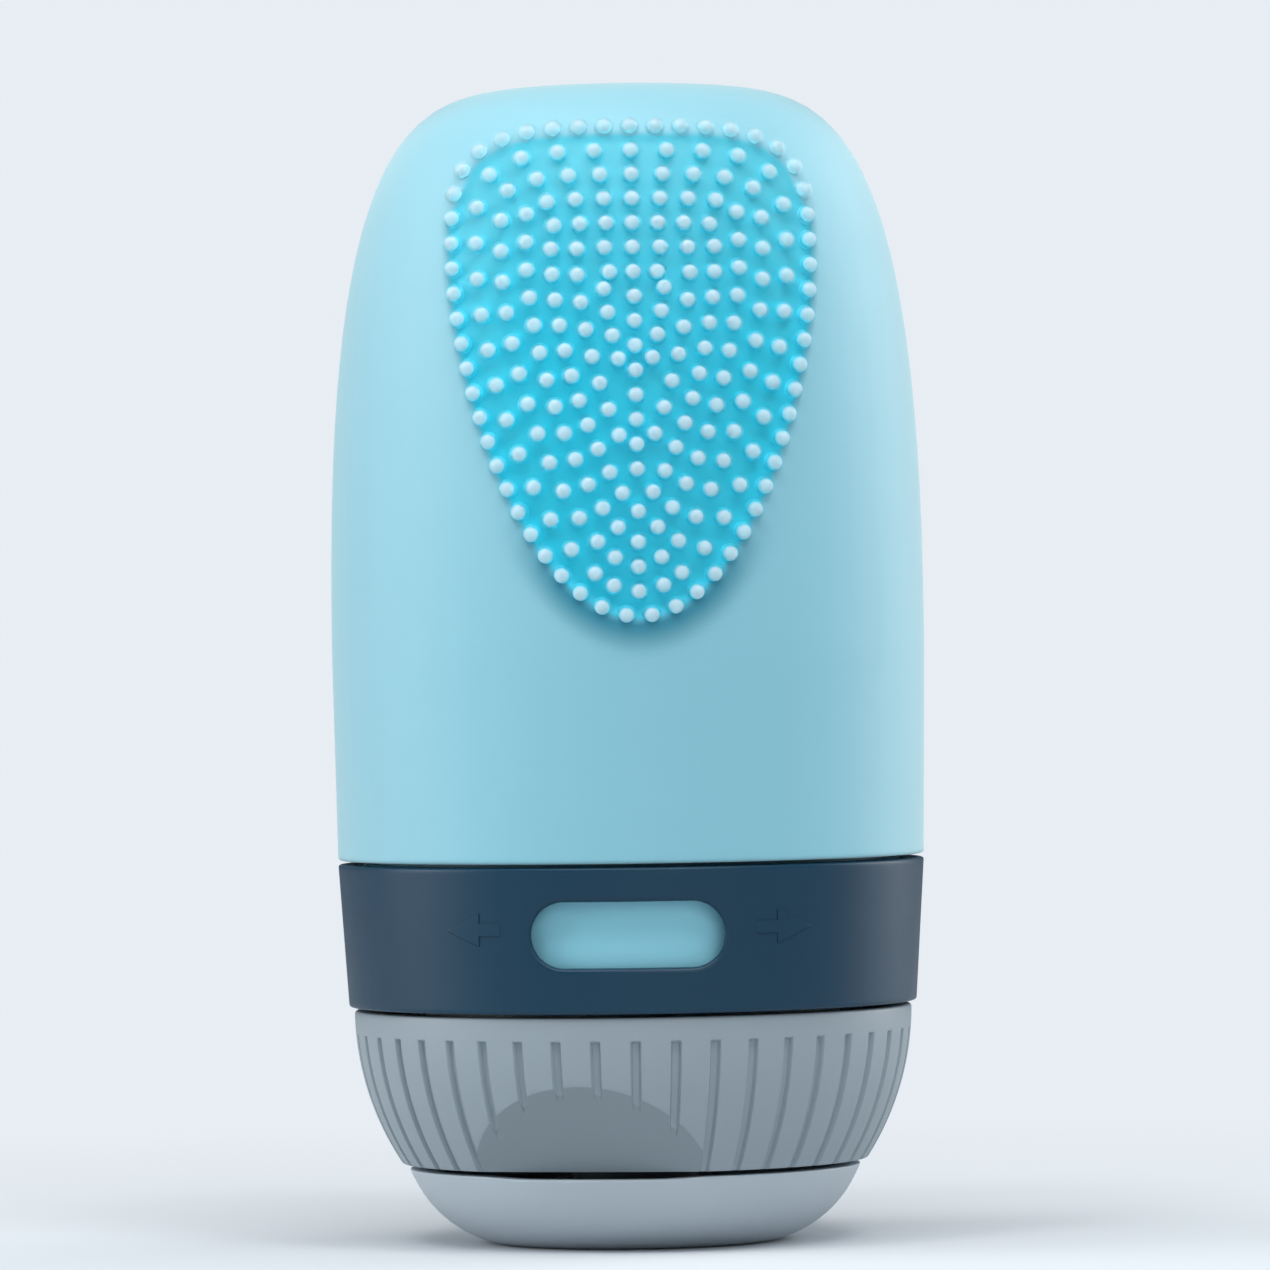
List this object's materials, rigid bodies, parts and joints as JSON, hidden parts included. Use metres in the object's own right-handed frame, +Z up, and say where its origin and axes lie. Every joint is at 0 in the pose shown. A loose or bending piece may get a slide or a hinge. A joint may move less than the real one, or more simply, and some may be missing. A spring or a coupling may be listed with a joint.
{
  "type": "travel bottle",
  "caption": "Soft squeeze travel bottle with a scrubbing patch, turning label collar, ribbed screw cap and hinged flip lid, standing on its lid.",
  "frame": {"origin": "centre of the lid's flat base, on the surface that the bottle stands on", "axes": "+Z up along the bottle's axis, towards the domed end; -Y to the front, through the middle of the scrubbing patch"},
  "size_m": [0.0514, 0.0522, 0.1],
  "materials": {
    "body_silicone": "matte silicone",
    "patch_silicone": "matte silicone with nubs",
    "neck_plastic": "natural, smooth",
    "label_plastic": "satin",
    "collar_plastic": "fine satin texture",
    "cap_plastic": "satin",
    "lid_plastic": "satin",
    "seal_silicone": "matte silicone",
    "pin_steel": "drawn"
  },
  "bodies": {
    "bottle": {"bottle_body": "body_silicone", "scrub_patch": "patch_silicone", "neck_ring": "neck_plastic", "label_ring": "label_plastic"},
    "collar": {"collar": "collar_plastic"},
    "gasket": {"mouth_gasket": "seal_silicone"},
    "cap": {"cap": "cap_plastic", "spout_valve": "seal_silicone", "valve_retainer": "cap_plastic", "hinge_pin": "pin_steel"},
    "lid": {"flip_lid": "lid_plastic"}
  },
  "joints": [
    {"name": "collar_turn", "type": "hinge", "parent": "bottle", "child": "collar", "pos_m": [0, 0, 0.0268], "axis": [0, 0, 1], "continuous": true},
    {"name": "cap_travel", "type": "slide", "parent": "bottle", "child": "gasket", "axis": [0, 0, -1], "range_m": [0, 0.0081]},
    {"name": "cap_turn", "type": "hinge", "parent": "gasket", "child": "cap", "pos_m": [0, 0, 0.0137], "axis": [0, 0, -1], "range_deg": [0, 540]},
    {"name": "lid_flip", "type": "hinge", "parent": "cap", "child": "lid", "pos_m": [0.00507, 0.02033, 0.00685], "axis": [0.9703, -0.2419, 0], "range_deg": [0, 130]}
  ],
  "couplings": [
    {"joint": "cap_travel", "follows": "cap_turn", "m_per_rad": 0.000859}
  ]
}
